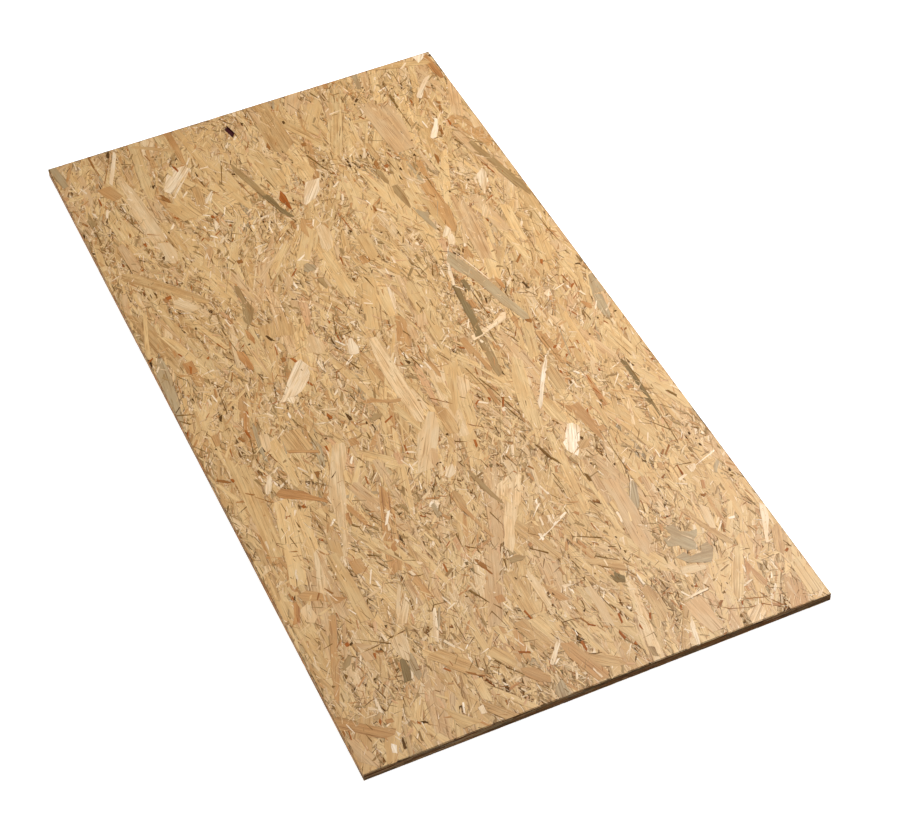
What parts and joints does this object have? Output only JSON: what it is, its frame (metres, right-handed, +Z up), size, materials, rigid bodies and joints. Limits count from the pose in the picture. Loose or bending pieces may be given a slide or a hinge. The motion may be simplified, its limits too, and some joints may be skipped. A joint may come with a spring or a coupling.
{
  "type": "oriented strand board panel",
  "caption": "Flat rectangular sheet of oriented strand board with square-sawn edges, for sheathing floors, walls and roofs.",
  "frame": {"origin": "middle of the underside, on the level floor that the sheet lies on", "axes": "+Z up through the thickness to the better face, +Y along the length, +X across the width"},
  "size_m": [0.61, 1.22, 0.012],
  "materials": {
    "strand_board": "raw pressed wood strands, matt with a faint resin sheen"
  },
  "bodies": {
    "root": {"osb_panel": "strand_board"}
  },
  "joints": []
}
